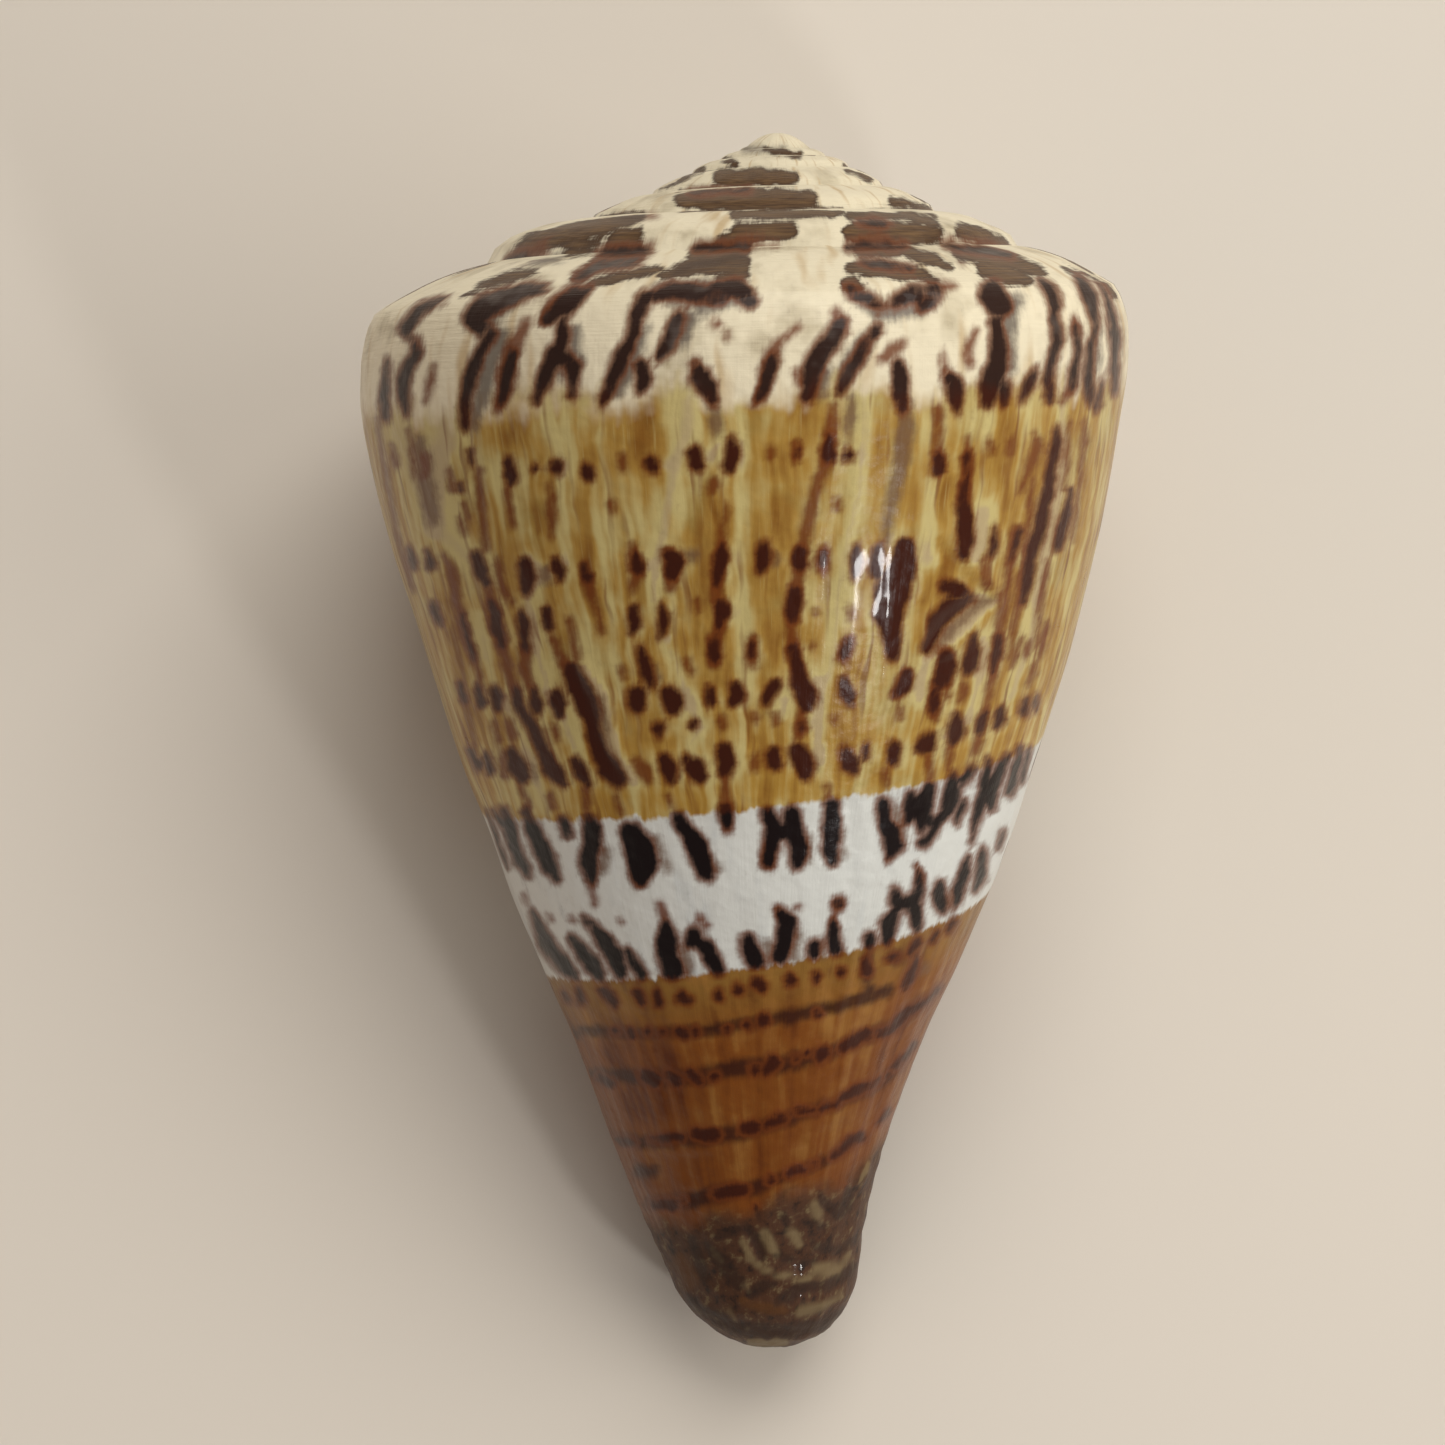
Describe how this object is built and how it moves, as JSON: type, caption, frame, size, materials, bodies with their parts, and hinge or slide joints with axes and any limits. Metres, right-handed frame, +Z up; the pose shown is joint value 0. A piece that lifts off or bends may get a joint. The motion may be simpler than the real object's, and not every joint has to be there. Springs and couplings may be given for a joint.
{
  "type": "cone shell",
  "caption": "Cone-shaped sea snail shell lying on its aperture side, with a low stepped spire, rounded shoulder, long narrow aperture and blunt open tip.",
  "frame": {"origin": "centre of the shell's bounding box at the surface it lies on", "axes": "+Z up from the surface, +Y along the shell towards its spire, +X to the right seen from above with the spire away"},
  "size_m": [0.0498, 0.0776, 0.0455],
  "materials": {
    "shell": "natural gloss over cream, tan and brown markings"
  },
  "bodies": {
    "root": {"shell": "shell"}
  },
  "joints": []
}
